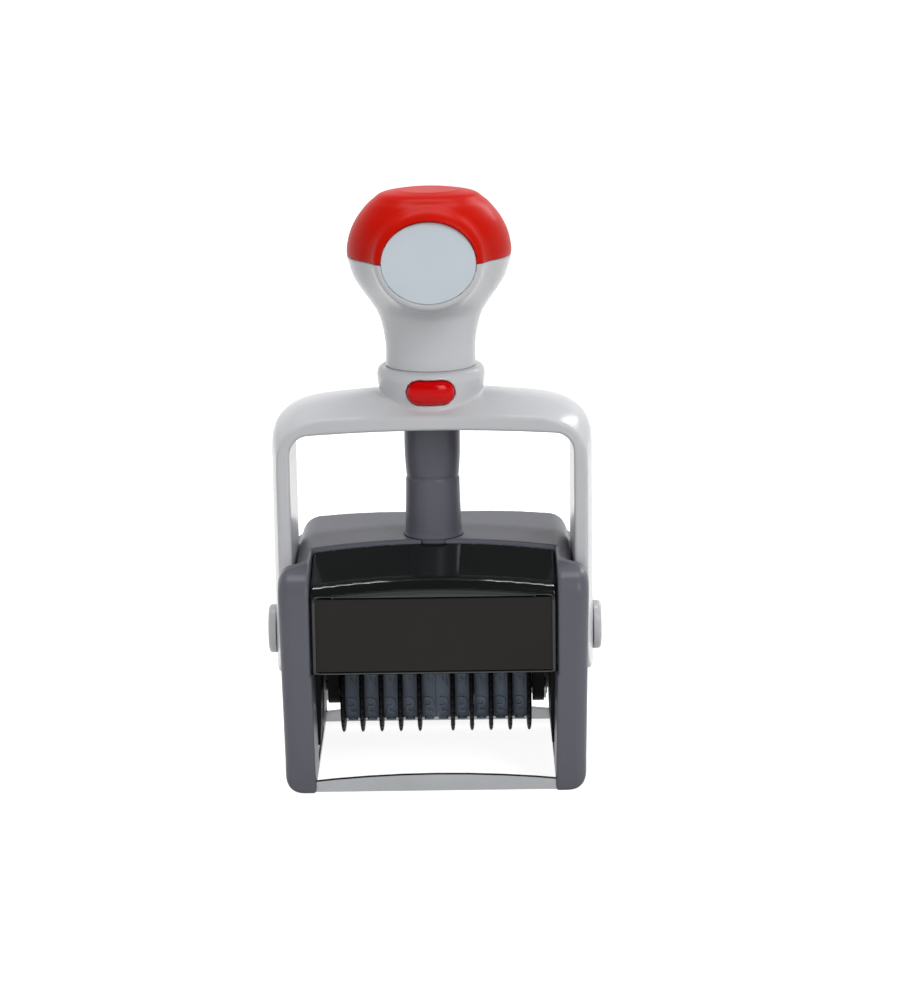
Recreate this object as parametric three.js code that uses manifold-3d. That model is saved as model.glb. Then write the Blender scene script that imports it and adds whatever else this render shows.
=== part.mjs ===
// Numbering machine: a self-inking desk stamp with ten number bands.
// Millimetres, +Z up, +X to the right, the front faces -Y, and the origin is the centre of the base.
import * as THREE from 'three';
import { mergeVertices } from 'three/addons/utils/BufferGeometryUtils.js';
import Module from 'manifold-3d';

const wasm = await Module();
wasm.setup();

// Clearances
const seatGap = 0.3;
const slideGap = 0.4;
const wheelGap = 0.1;
const overrun = 4;
const weld = 0.0001;

// Stroke of the handle, which turns the printing head over once
const stroke = 22;
const strokeSpare = 2.5;
const printReach = 12.8;

// Number bands and their thumb wheels
const bandPairs = 5;
const bandPitch = 5;
const discThickness = 1.15;
const discRadius = 11;
const discEdge = 0.7;
const hubRadius = 5.9;
const axleDrop = 17.1;
const axleRadius = 1.5;
const bandThickness = 1.2;
const printHalfDepth = 4.1;
const printCorner = 2;
const digitHeight = 0.6;

// Head that carries the bands
const headSideThickness = 3;
const headSideWaist = 4.8;
const axleLugRadius = 3.3;
const typeFrameDepth = 2.2;
const typeFrameHeight = 2;
const typeFrameDrop = 1.5;
const typeFrameGap = 1.5;
const bridgeHeight = 4;
const clipThickness = 0.6;
const clipRadius = 2.7;

// Pivot pins and their caps
const pinRadius = 2.5;
const pinClearance = 0.5;
const capRadius = 6.4;
const capStand = 2.1;
const capEdge = 1.1;
const spigotRadius = 4.2;
const spigotDepth = 2.8;

// Steel side plates and their black liners, outside the axle's ends
const axleClearance = 0.5;
const linerThickness = 1.4;
const linerFootWall = 2.8;
const linerFootThickness = 1.1;
const linerTaper = 8;
const railLedge = 2.3;
const ledgeHeight = 2;
const ledgeFront = 14;
const ledgeSetback = 6;
const plateThickness = 1.2;
const plateHalfDepth = 15;

// Steel base frame
const railReach = 1.7;
const railWidth = 3.4;
const railHeight = 1.5;
const baseSetback = 1.5;
const barThickness = 1.5;
const barCentreHeight = 4.3;
const barEndHeight = 2.4;

// Housing
const housingHalfDepth = 33;
const pillarLap = 1;
const pillarWidth = 7.9;
const pillarDraft = 0.9;
const sideTaper = 1;
const footRound = 5;
const planCorner = 4.5;
const ceilingGap = 2.4;
const roofThickness = 5.4;
const shoulderDrop = 2.5;
const shoulderWidth = 4.8;
const shoulderRadius = 2.6;
const upperCorner = 4.5;
const backShoulderDrop = 6.9;
const backOpeningHeight = 8.7;
const frontTopDrop = 3.3;
const frontTopDepth = 6;
const frontBend = 8;
const backBend = 10;
const backWall = 2.5;
const windowDrop = 4.3;
const channelWall = 3;
const armSpare = 0.6;

// Window cover and its card
const coverBackDepth = 7.4;
const coverBackDrop = 1;
const coverFrontDrop = 5.5;
const coverSetback = 3;
const coverBend = 2.4;
const coverThickness = 1.6;
const coverCrown = 2.1;
const cardMargin = 0.9;
const cardDrop = 4.1;
const cardThickness = 0.5;

// Guide column
const columnRadius = 7;
const columnFootRadius = 7.2;
const columnFootLength = 6.1;
const columnBore = 5.2;
const columnTopDrop = 1.6;
const columnFloor = 2.2;
const flareRadius = 8;
const flareHeight = 1.4;
const columnStepLength = 15.6;
const columnGroove = 0.25;
const nutRadius = 9.5;
const nutHeight = 1.5;

// Return spring
const springRadius = 4.1;
const springWire = 0.7;
const springTurns = 12;

// Handle yoke
const armThickness = 5.3;
const armBelowPivot = 8.8;
const armBottomRound = 8;
const armCrown = 2;
const yokeHalfDepth = 17.5;
const archClearance = 8.5;
const archShoulderFall = 1;
const archShoulderReach = 5;
const archShoulderDrop = 5.2;
const yokeThickness = 8.2;
const yokeTopCrown = 4.6;
const yokeShoulderCrown = 2.9;
const yokeShoulderFall = 2.1;
const yokeShoulderReach = 12.3;
const yokeShoulderDrop = 12;
const yokeEdge = 0.8;
const collarRadius = 13.9;
const collarDepthRatio = 1.15;
const collarRise = 5.8;
const collarRound = 1.7;
const collarSink = 6.6;
const socketRadius = 9;
const socketHeight = 7.6;

// Knob: radius as a share of the bulb's, height as a share from the collar to the top
const bulbRadius = 21;
const knobHeight = 45.1;
const knobShares = [
  [0.552, 0], [0.548, 0.1], [0.562, 0.171], [0.59, 0.239], [0.638, 0.309], [0.728, 0.377],
  [0.833, 0.445], [0.918, 0.511], [0.969, 0.579], [1, 0.647], [0.985, 0.715], [0.943, 0.781],
  [0.866, 0.849], [0.749, 0.917], [0.668, 0.95], [0.566, 0.982], [0.36, 1],
];
const splitShare = 0.634;
const knobFloor = 3;
const hollowRadius = 14;
const rimRadius = 15.7;
const rimHeight = 2.5;
const capHollowShare = 0.78;
const badgeShare = 0.641;
const badgeHalfWidth = 11.9;
const badgeHalfHeight = 10.2;
const badgeThickness = 0.8;
const badgeRing = 1.6;
const badgeInset = 1.8;
const badgeLean = 12;
const knobPinRadius = 1.2;

// Lock button
const buttonWidth = 12.1;
const buttonHeight = 6.4;
const buttonDrop = 4.7;
const buttonStand = 1;
const buttonLength = 4.8;
const buttonEdge = 1.5;
const pocketDepth = 8;

// Ink pad and its drawer
const trayFlangeHeight = 1.3;
const trayWall = 1.2;
const trayFace = 2;
const gripHalfWidth = 9;
const gripDepth = 1;
const padHalfDepth = 9;

// Screws that hold the head sides to the type bridge
const screwHeadRadius = 1.7;
const screwHeadHeight = 0.8;
const screwShankRadius = 0.8;
const screwDepth = 5;

// Colours
const lightGrey = new THREE.MeshStandardMaterial({ color: 0xc3c4c3, roughness: 0.35, metalness: 0 });
const slate = new THREE.MeshStandardMaterial({ color: 0x65656f, roughness: 0.5, metalness: 0 });
const red = new THREE.MeshStandardMaterial({ color: 0xcd1e19, roughness: 0.3, metalness: 0 });
const badgeGrey = new THREE.MeshStandardMaterial({ color: 0xb9b9c1, roughness: 0.4, metalness: 0 });
const smoked = new THREE.MeshStandardMaterial({ color: 0x232625, roughness: 0.1, metalness: 0 });
const cardDark = new THREE.MeshStandardMaterial({ color: 0x2b2927, roughness: 0.8, metalness: 0 });
const black = new THREE.MeshStandardMaterial({ color: 0x121214, roughness: 0.5, metalness: 0 });
const rubber = new THREE.MeshStandardMaterial({ color: 0x3f4552, roughness: 0.7, metalness: 0 });
const steel = new THREE.MeshStandardMaterial({ color: 0xacaeb4, roughness: 0.3, metalness: 0.9 });
const felt = new THREE.MeshStandardMaterial({ color: 0x1b1b22, roughness: 0.95, metalness: 0 });

// Turns a closed three.js geometry into a solid whose faces point out
function toSolid(geometry) {
  const bare = new THREE.BufferGeometry();
  bare.setAttribute('position', geometry.getAttribute('position').clone());
  if (geometry.index) bare.setIndex(geometry.index.clone());
  const merged = mergeVertices(bare, weld);
  const places = merged.getAttribute('position');
  const index = merged.index.array;
  const a = new THREE.Vector3();
  const b = new THREE.Vector3();
  const c = new THREE.Vector3();
  const corners = [];
  let volume = 0;
  for (let i = 0; i < index.length; i += 3) {
    const [p, q, r] = [index[i], index[i + 1], index[i + 2]];
    if (p === q || q === r || r === p) continue;
    corners.push([p, q, r]);
    a.fromBufferAttribute(places, p);
    b.fromBufferAttribute(places, q);
    c.fromBufferAttribute(places, r);
    volume += a.dot(b.cross(c));
  }
  const outward = volume > 0 ? corners : corners.map(([p, q, r]) => [p, r, q]);
  return new wasm.Manifold(new wasm.Mesh({
    numProp: 3,
    vertProperties: new Float32Array(places.array),
    triVerts: new Uint32Array(outward.flat()),
  }));
}

function toGeometry(solid) {
  const mesh = solid.getMesh();
  const geometry = new THREE.BufferGeometry();
  geometry.setAttribute('position', new THREE.BufferAttribute(mesh.vertProperties, 3));
  geometry.setIndex(new THREE.BufferAttribute(mesh.triVerts, 1));
  geometry.computeVertexNormals();
  return geometry;
}

function cut(solid, ...tools) {
  return tools.reduce((left, tool) => left.subtract(tool), solid);
}

function join(solid, ...others) {
  return others.reduce((whole, other) => whole.add(other), solid);
}

function mirrored(solid) {
  return toSolid(toGeometry(solid).scale(-1, 1, 1));
}

function extruded(shape, length, curveSegments) {
  return new THREE.ExtrudeGeometry(shape, { depth: length, bevelEnabled: false, curveSegments, steps: 1 });
}

// An outline in Y and Z, swept along X
const sideBasis = new THREE.Matrix4().makeBasis(
  new THREE.Vector3(0, 1, 0),
  new THREE.Vector3(0, 0, 1),
  new THREE.Vector3(1, 0, 0),
);
function alongX(shape, from, to, curveSegments = 6) {
  return toSolid(extruded(shape, to - from, curveSegments).translate(0, 0, from).applyMatrix4(sideBasis));
}

// An outline in X and Z, swept along Y
const frontBasis = new THREE.Matrix4().makeBasis(
  new THREE.Vector3(1, 0, 0),
  new THREE.Vector3(0, 0, 1),
  new THREE.Vector3(0, -1, 0),
);
function alongY(shape, from, to, curveSegments = 6) {
  return toSolid(extruded(shape, to - from, curveSegments).translate(0, 0, -to).applyMatrix4(frontBasis));
}

// An outline in X and Y, swept along Z
function alongZ(shape, from, to, curveSegments = 6) {
  return toSolid(extruded(shape, to - from, curveSegments).translate(0, 0, from));
}

function slab(x0, x1, y0, y1, z0, z1) {
  const box = new THREE.BoxGeometry(x1 - x0, y1 - y0, z1 - z0);
  return toSolid(box.translate((x0 + x1) / 2, (y0 + y1) / 2, (z0 + z1) / 2));
}

function polygon(points) {
  return new THREE.Shape(points.map(([x, y]) => new THREE.Vector2(x, y)));
}

// A solid of revolution about Z, from points of radius and height
function turned(points, segments = 28) {
  const profile = points.map(([radius, height]) => new THREE.Vector2(radius, height));
  return new THREE.LatheGeometry(profile, segments).rotateX(Math.PI / 2);
}

function rod(radius, from, to, segments = 20) {
  return turned([[0, from], [radius, from], [radius, to], [0, to]], segments);
}

function rodZ(radius, from, to, segments = 24) {
  return toSolid(rod(radius, from, to, segments));
}

// The same about an axis along X or along Y, at a height
function rodX(radius, from, to, height, segments = 20) {
  return toSolid(rod(radius, from, to, segments).rotateY(Math.PI / 2).translate(0, 0, height));
}

function rodY(radius, from, to, height, segments = 20) {
  return toSolid(rod(radius, -to, -from, segments).rotateX(Math.PI / 2).translate(0, 0, height));
}

function slotShape(halfWidth, low, high) {
  const shape = new THREE.Shape();
  shape.absarc(0, low, halfWidth, Math.PI, 2 * Math.PI, false);
  shape.absarc(0, high, halfWidth, 0, Math.PI, false);
  return shape;
}

function obround(width, height) {
  const radius = height / 2;
  const reach = width / 2 - radius;
  const shape = new THREE.Shape();
  shape.absarc(reach, 0, radius, -Math.PI / 2, Math.PI / 2, false);
  shape.absarc(-reach, 0, radius, Math.PI / 2, 1.5 * Math.PI, false);
  return shape;
}

function oval(halfWidth, halfHeight) {
  const shape = new THREE.Shape();
  shape.absellipse(0, 0, halfWidth, halfHeight, 0, 2 * Math.PI, false, 0);
  return shape;
}

// A coil spring about Z whose ends lie flat at two heights
class Helix extends THREE.Curve {
  constructor(radius, low, high, turns) {
    super();
    Object.assign(this, { radius, low, high, turns });
  }

  getPoint(share) {
    const angle = share * this.turns * 2 * Math.PI;
    return new THREE.Vector3(
      this.radius * Math.cos(angle),
      this.radius * Math.sin(angle),
      THREE.MathUtils.lerp(this.low, this.high, share),
    );
  }
}

function spring(radius, wire, low, high, turns) {
  const section = new THREE.Shape();
  const sides = 5;
  for (let i = 0; i < sides; i += 1) {
    const angle = (i / sides) * 2 * Math.PI;
    const [x, y] = [wire * Math.cos(angle), wire * Math.sin(angle)];
    if (i === 0) section.moveTo(x, y);
    else section.lineTo(x, y);
  }
  const stepsPerTurn = 8;
  return new THREE.ExtrudeGeometry(section, {
    steps: stepsPerTurn * turns,
    extrudePath: new Helix(radius, low + wire, high - wire, turns),
    curveSegments: 1,
  });
}

// A closed skin over outlines that all have the same number of points
function loft(rings) {
  const count = rings[0].length;
  const positions = rings.flat().flatMap((point) => [point.x, point.y, point.z]);
  const index = [];
  for (let r = 0; r < rings.length - 1; r += 1) {
    for (let i = 0; i < count; i += 1) {
      const here = r * count + i;
      const next = r * count + (i + 1) % count;
      index.push(here, next, here + count, next, next + count, here + count);
    }
  }
  for (const [ring, flip] of [[0, true], [rings.length - 1, false]]) {
    const flat = rings[ring].map((point) => new THREE.Vector2(point.x, point.z));
    for (const [p, q, r] of THREE.ShapeUtils.triangulateShape(flat, [])) {
      const face = flip ? [p, r, q] : [p, q, r];
      index.push(...face.map((corner) => corner + ring * count));
    }
  }
  const geometry = new THREE.BufferGeometry();
  geometry.setAttribute('position', new THREE.Float32BufferAttribute(positions, 3));
  geometry.setIndex(index);
  return toSolid(geometry);
}

const machine = new THREE.Group();
function place(name, solid, material) {
  const mesh = new THREE.Mesh(toGeometry(solid), material);
  mesh.name = name;
  machine.add(mesh);
}

function placePair(name, solid, material) {
  place(`${name}_right`, solid, material);
  place(`${name}_left`, mirrored(solid), material);
}

// Widths that follow from the driving dimensions, from the bands outwards
const stackHalfWidth = bandPairs * bandPitch;
const headSideInner = stackHalfWidth + seatGap;
const headSideOuter = headSideInner + headSideThickness;
const axleEnd = headSideOuter + clipThickness + seatGap;
const linerInnerX = axleEnd + axleClearance;
const linerOuterX = linerInnerX + linerThickness;
const plateOuterX = linerOuterX + plateThickness;
const baseHalfWidth = plateOuterX + railReach;
const pillarInnerTop = plateOuterX - pillarLap;
const pillarInnerFoot = pillarInnerTop - pillarDraft;
const housingHalfWidth = pillarInnerTop + pillarWidth;
const channelX = plateOuterX + seatGap + channelWall;
const armInnerX = channelX + slideGap;
const armOuterX = armInnerX + armThickness;
const yokeShoulderX = armOuterX - yokeShoulderReach;
const archShoulderX = armInnerX - archShoulderReach;
const coverSide = pillarInnerTop - seatGap;
const trayHalfWidth = linerInnerX - railLedge - seatGap;
const padHalfWidth = trayHalfWidth - trayWall - seatGap;

// Heights, from the print face upwards
const pivotHeight = stroke + printReach;
const axleHeight = pivotHeight - axleDrop;
const slotHalfWidth = pinRadius + pinClearance;
const linerFoot = printReach - slotHalfWidth - linerFootWall;
const windowHeight = pivotHeight - windowDrop;
const armBottom = pivotHeight - armBelowPivot;
const channelFloor = armBottom - stroke - armSpare;
const printHeight = pivotHeight + printReach;
const bandTop = printHeight - digitHeight;
const padHeight = printHeight + seatGap;
const ledgeTop = padHeight + ledgeHeight + 2 * seatGap;
const trayFlangeLow = ledgeTop + seatGap;
const trayTop = trayFlangeLow + trayFlangeHeight;
const linerTaperTop = linerFoot + linerTaper;
const columnFoot = trayTop + 2 * seatGap;
const ceilingHeight = trayTop + ceilingGap;
const housingTop = ceilingHeight + roofThickness;
const housingShoulder = housingTop - shoulderDrop;
const backShoulder = housingTop - backShoulderDrop;
const frontTopHeight = housingTop - frontTopDrop;
const coverBackHeight = housingTop - coverBackDrop;
const coverFrontHeight = housingTop - coverFrontDrop;
const cardTop = coverFrontHeight - cardDrop;
const columnFootTop = housingTop + columnFootLength;
const columnStep = housingTop + columnStepLength;
const archTop = housingTop + stroke + archClearance;
const archShoulder = archTop - archShoulderFall;
const yokeTop = archTop + yokeThickness;
const yokeShoulder = yokeTop - yokeShoulderFall;
const columnTop = yokeTop - columnTopDrop;
const collarTop = yokeTop + collarRise;
const collarBase = yokeTop - collarSink;
const buttonCentre = collarTop - buttonDrop;
const knobTop = collarTop + knobHeight;
const splitHeight = collarTop + splitShare * knobHeight;
const badgeHeight = collarTop + badgeShare * knobHeight;
const knobBoreTop = columnTop + stroke + strokeSpare;

// Depths
const baseHalfDepth = housingHalfDepth - baseSetback;
const coverFrontDepth = housingHalfDepth - coverSetback;
const ledgeBack = housingHalfDepth - ledgeSetback;
const channelHalfDepth = yokeHalfDepth + slideGap;
const badgeDepth = bulbRadius - badgeInset;
const buttonFront = collarRadius * collarDepthRatio + buttonStand;
const buttonBack = buttonFront - buttonLength;
const pocketFloor = buttonFront - pocketDepth;

// Steel base frame: flat side rails and arched front and back bars
function baseFrame() {
  const ring = alongZ(polygon([
    [-baseHalfWidth, -baseHalfDepth],
    [baseHalfWidth, -baseHalfDepth],
    [baseHalfWidth, baseHalfDepth],
    [-baseHalfWidth, baseHalfDepth],
  ]), 0, railHeight);
  const holeX = baseHalfWidth - railWidth;
  const holeY = baseHalfDepth - barThickness;
  const open = cut(ring, slab(-holeX, holeX, -holeY, holeY, -overrun, railHeight + overrun));
  const arch = new THREE.Shape();
  arch.moveTo(-baseHalfWidth, 0);
  arch.lineTo(baseHalfWidth, 0);
  arch.lineTo(baseHalfWidth, barEndHeight);
  arch.quadraticCurveTo(0, 2 * barCentreHeight - barEndHeight, -baseHalfWidth, barEndHeight);
  const front = alongY(arch, -baseHalfDepth, -holeY, 16);
  const back = alongY(arch, holeY, baseHalfDepth, 16);
  return join(open, front, back);
}
place('base_frame', baseFrame(), steel);

// A slot in which a pivot pin runs down and up
function pinSlot(from, to) {
  return alongX(slotShape(slotHalfWidth, printReach, pivotHeight), from, to);
}

// Steel side plates, welded to the rails
function sidePlate() {
  const outline = polygon([
    [-plateHalfDepth, railHeight],
    [plateHalfDepth, railHeight],
    [plateHalfDepth, trayTop],
    [-plateHalfDepth, trayTop],
  ]);
  return cut(
    alongX(outline, linerOuterX, plateOuterX),
    pinSlot(linerOuterX - overrun, plateOuterX + overrun),
  );
}
placePair('side_plate', sidePlate(), steel);

// Black liners: a wall tapered at its foot, and the ledge that carries the pad drawer
function sideLiner() {
  const wall = alongY(polygon([
    [linerOuterX, linerFoot],
    [linerOuterX, trayTop],
    [linerInnerX, trayTop],
    [linerInnerX, linerTaperTop],
    [linerOuterX - linerFootThickness, linerFoot],
  ]), -ledgeFront, ledgeFront);
  const ledge = slab(
    linerInnerX - railLedge, linerOuterX, -ledgeFront, ledgeBack, ledgeTop - ledgeHeight, ledgeTop,
  );
  const upright = slab(linerInnerX, linerOuterX, ledgeFront, ledgeBack, ledgeTop - ledgeHeight, trayTop);
  return cut(join(wall, ledge, upright), pinSlot(linerInnerX - overrun, linerOuterX + overrun));
}
placePair('side_liner', sideLiner(), black);

// Housing: three outlines crossed, then opened for the head, the window, the arms and the drawer
function housingFront() {
  const shape = new THREE.Shape();
  const low = housingHalfWidth - sideTaper;
  const inner = low - footRound;
  shape.moveTo(-inner, 0);
  shape.lineTo(inner, 0);
  shape.quadraticCurveTo(low, 0, low, footRound);
  const bend = housingShoulder - shoulderRadius;
  shape.lineTo(housingHalfWidth, bend);
  shape.quadraticCurveTo(
    housingHalfWidth, housingShoulder - shoulderRadius / 4,
    housingHalfWidth - shoulderWidth, housingShoulder,
  );
  shape.quadraticCurveTo(
    0, 2 * housingTop - housingShoulder,
    shoulderWidth - housingHalfWidth, housingShoulder,
  );
  shape.quadraticCurveTo(
    -housingHalfWidth, housingShoulder - shoulderRadius / 4,
    -housingHalfWidth, bend,
  );
  shape.lineTo(-low, footRound);
  shape.quadraticCurveTo(-low, 0, -inner, 0);
  return shape;
}

function housingSide() {
  const shape = new THREE.Shape();
  shape.moveTo(-housingHalfDepth, 0);
  shape.lineTo(housingHalfDepth, 0);
  shape.lineTo(housingHalfDepth, housingTop - backBend);
  shape.quadraticCurveTo(housingHalfDepth, housingTop, housingHalfDepth - backBend, housingTop);
  shape.lineTo(0, housingTop);
  shape.quadraticCurveTo(
    -housingHalfDepth / 2, housingTop,
    frontTopDepth - housingHalfDepth, frontTopHeight,
  );
  shape.quadraticCurveTo(
    -housingHalfDepth, frontTopHeight - frontBend / 5,
    -housingHalfDepth, frontTopHeight - frontBend,
  );
  return shape;
}

function roundedPlan(halfWidth, halfDepth, radius) {
  const shape = new THREE.Shape();
  const [x, y] = [halfWidth - radius, halfDepth - radius];
  shape.absarc(x, -y, radius, -Math.PI / 2, 0, false);
  shape.absarc(x, y, radius, 0, Math.PI / 2, false);
  shape.absarc(-x, y, radius, Math.PI / 2, Math.PI, false);
  shape.absarc(-x, -y, radius, Math.PI, 1.5 * Math.PI, false);
  return shape;
}

// What is cut away above the back shoulder, beside the rounded corner of the upper body
function upperCornerOutline(ahead, above) {
  const inner = channelX - upperCorner;
  const crest = housingShoulder + upperCorner / 8;
  const shape = new THREE.Shape();
  shape.moveTo(inner, above);
  shape.lineTo(inner, crest);
  shape.quadraticCurveTo(channelX, crest, channelX, crest - upperCorner);
  shape.lineTo(channelX, backShoulder);
  shape.lineTo(ahead, backShoulder);
  shape.lineTo(ahead, above);
  return shape;
}

function housing() {
  const block = alongY(housingFront(), -housingHalfDepth, housingHalfDepth)
    .intersect(alongX(housingSide(), -housingHalfWidth, housingHalfWidth))
    .intersect(alongZ(roundedPlan(housingHalfWidth, housingHalfDepth, planCorner), -overrun, knobTop, 4));
  const below = -overrun;
  const above = housingTop + overrun;
  const outside = housingHalfDepth + overrun;
  const ahead = housingHalfWidth + overrun;
  const backFace = housingHalfDepth - backWall;
  const cavity = alongY(polygon([
    [-pillarInnerFoot, below],
    [pillarInnerFoot, below],
    [pillarInnerTop, ceilingHeight - overrun],
    [pillarInnerTop, ceilingHeight],
    [-pillarInnerTop, ceilingHeight],
    [-pillarInnerTop, ceilingHeight - overrun],
  ]), -outside, backFace);
  const backOpening = slab(
    -pillarInnerFoot, pillarInnerFoot, 0, outside, below, backOpeningHeight,
  );
  const window = slab(
    -pillarInnerTop, pillarInnerTop, -outside, seatGap - coverBackDepth, windowHeight, above,
  );
  const pocketX = plateOuterX + seatGap;
  const pocketY = plateHalfDepth + seatGap;
  const platePocket = slab(-pocketX, pocketX, -pocketY, pocketY, below, trayTop + seatGap);
  const railX = baseHalfWidth + seatGap;
  const railY = baseHalfDepth + seatGap;
  const railPocket = slab(-railX, railX, -railY, railY, below, railHeight + seatGap);
  const barY = baseHalfDepth - barThickness - seatGap;
  const barTop = barEndHeight + 3 * seatGap;
  const frontBarPocket = slab(-railX, railX, -railY, -barY, below, barTop);
  const backBarPocket = slab(-railX, railX, barY, railY, below, barTop);
  const channel = slab(
    channelX, ahead, -channelHalfDepth, channelHalfDepth, channelFloor, above,
  );
  const shoulder = alongY(upperCornerOutline(ahead, above), -channelHalfDepth, outside);
  const drawerX = pillarInnerTop;
  const drawerSlot = slab(-drawerX, drawerX, 0, outside, padHeight - seatGap, trayTop + seatGap);
  const columnHole = rodZ(columnFootRadius + seatGap, ceilingHeight - overrun, above);
  return cut(
    block, cavity, backOpening, window, platePocket, railPocket, frontBarPocket, backBarPocket,
    channel, mirrored(channel), shoulder, mirrored(shoulder),
    drawerSlot, columnHole, pinSlot(-ahead, ahead),
  );
}

place('housing', housing(), slate);

// Window cover: an arched lid that turns down at the front, with a shallow seat for the card
function windowCover() {
  const front = -coverFrontDepth;
  const back = -coverBackDepth;
  const bend = coverBend + coverThickness;
  const rise = (coverBackHeight - coverFrontHeight) / (coverFrontDepth - coverBackDepth);
  const inner = front + coverThickness;
  const innerFront = coverFrontHeight - coverThickness;
  const shape = new THREE.Shape();
  shape.moveTo(front, windowHeight);
  shape.lineTo(inner, windowHeight);
  shape.lineTo(inner, innerFront - coverBend);
  shape.quadraticCurveTo(inner, innerFront, inner + coverBend, innerFront + coverBend * rise);
  shape.lineTo(back, coverBackHeight - coverThickness);
  shape.lineTo(back, coverBackHeight);
  shape.lineTo(front + bend, coverFrontHeight + bend * rise);
  shape.quadraticCurveTo(front, coverFrontHeight, front, coverFrontHeight - bend);
  const strip = new THREE.ExtrudeGeometry(shape, {
    depth: 2 * coverSide, steps: 16, bevelEnabled: false, curveSegments: 5,
  }).translate(0, 0, -coverSide).applyMatrix4(sideBasis);
  const places = strip.getAttribute('position');
  const archFoot = coverFrontHeight - 2 * bend;
  for (let i = 0; i < places.count; i += 1) {
    const arch = THREE.MathUtils.smoothstep(places.getZ(i), archFoot, coverFrontHeight - bend);
    const share = places.getX(i) / coverSide;
    places.setZ(i, places.getZ(i) - coverCrown * arch * share * share);
  }
  const seat = slab(
    cardMargin - coverSide, coverSide - cardMargin, front - overrun, front + cardThickness,
    windowHeight + cardThickness, cardTop,
  );
  return cut(toSolid(strip), seat);
}
place('window_cover', windowCover(), smoked);

// Card in the seat of the cover
const cardInset = cardMargin + seatGap;
place('index_card', slab(
  cardInset - coverSide, coverSide - cardInset, -coverFrontDepth, cardThickness - coverFrontDepth,
  windowHeight + cardThickness + seatGap, cardTop - seatGap,
), cardDark);

// Guide column with a flare on the housing and a nut below it
function guideColumn() {
  const tube = turned([
    [0, columnFoot + columnFloor],
    [columnBore, columnFoot + columnFloor],
    [columnBore, columnTop],
    [columnRadius, columnTop],
    [columnRadius, columnStep],
    [columnRadius - columnGroove, columnStep],
    [columnRadius - columnGroove, columnStep - columnGroove],
    [columnRadius, columnStep - 2 * columnGroove],
    [columnRadius, columnFootTop],
    [columnFootRadius, columnFootTop - flareHeight],
    [columnFootRadius, housingTop + flareHeight + seatGap],
    [flareRadius, housingTop + seatGap],
    [columnFootRadius, housingTop + seatGap],
    [columnFootRadius, columnFoot],
    [0, columnFoot],
  ], 24);
  return toSolid(tube);
}
place('guide_column', guideColumn(), slate);

place('column_nut', toSolid(turned([
  [columnFootRadius + seatGap, ceilingHeight - seatGap - nutHeight],
  [nutRadius, ceilingHeight - seatGap - nutHeight],
  [nutRadius, ceilingHeight - seatGap],
  [columnFootRadius + seatGap, ceilingHeight - seatGap],
  [columnFootRadius + seatGap, ceilingHeight - seatGap - nutHeight],
], 24)), steel);

place('return_spring', toSolid(spring(
  springRadius, springWire, columnFoot + columnFloor + seatGap, knobBoreTop - seatGap, springTurns,
)), steel);

// Points of a quarter ellipse, both ends included, and of a flat arch, both ends left out
const cornerSteps = 5;
function quarter(x, z, reachX, reachZ, from, to) {
  return Array.from({ length: cornerSteps + 1 }, (_, i) => {
    const angle = THREE.MathUtils.lerp(from, to, i / cornerSteps);
    return [x + reachX * Math.cos(angle), z + reachZ * Math.sin(angle)];
  });
}

const archSteps = 8;
function flatArch(fromX, endZ, crestZ) {
  return Array.from({ length: archSteps - 1 }, (_, i) => {
    const share = 1 - (2 * (i + 1)) / archSteps;
    return [fromX * share, crestZ - (crestZ - endZ) * share * share];
  });
}

// Yoke outline at one depth: an arch with two arms, drawn in at the front and back faces
function yokeRing(y) {
  const share = y / yokeHalfDepth;
  const edge = Math.max(0, Math.abs(y) - (yokeHalfDepth - yokeEdge));
  const round = yokeEdge - Math.sqrt(Math.max(0, yokeEdge * yokeEdge - edge * edge));
  const outer = armOuterX - armCrown * share * share - round;
  const crown = yokeTopCrown * share * share + round;
  const outerZ = yokeShoulder - yokeShoulderCrown * share * share - round;
  const outerReach = outer - yokeShoulderX;
  const outerLow = outerZ - yokeShoulderDrop;
  const inner = armInnerX + round;
  const innerZ = archShoulder + round;
  const innerReach = armInnerX - archShoulderX;
  const innerX = archShoulderX + round;
  const innerLow = innerZ - archShoulderDrop;
  const quarterTurn = Math.PI / 2;
  return [
    [outer, armBottom],
    ...quarter(yokeShoulderX, outerLow, outerReach, yokeShoulderDrop, 0, quarterTurn),
    ...flatArch(yokeShoulderX, outerZ, yokeTop - crown),
    ...quarter(-yokeShoulderX, outerLow, outerReach, yokeShoulderDrop, quarterTurn, Math.PI),
    [-outer, armBottom],
    [-inner, armBottom],
    ...quarter(-innerX, innerLow, innerReach, archShoulderDrop, Math.PI, quarterTurn),
    ...flatArch(-innerX, innerZ, archTop + round),
    ...quarter(innerX, innerLow, innerReach, archShoulderDrop, quarterTurn, 0),
    [inner, armBottom],
  ].map(([x, z]) => new THREE.Vector3(x, y, z));
}

// The knob end of the yoke is an oval collar with a socket tube standing on it
const boreRadius = columnFootRadius + seatGap;
const pocketHalfHeight = buttonHeight / 2 + seatGap;
const knobPinHeight = collarTop + socketHeight / 2;
function armOutline() {
  const shape = new THREE.Shape();
  const straight = yokeHalfDepth - armBottomRound;
  shape.moveTo(-yokeHalfDepth, yokeTop);
  shape.lineTo(-yokeHalfDepth, armBottom + armBottomRound);
  shape.quadraticCurveTo(-yokeHalfDepth, armBottom, -straight, armBottom);
  shape.lineTo(straight, armBottom);
  shape.quadraticCurveTo(yokeHalfDepth, armBottom, yokeHalfDepth, armBottom + armBottomRound);
  shape.lineTo(yokeHalfDepth, yokeTop);
  return shape;
}

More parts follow.
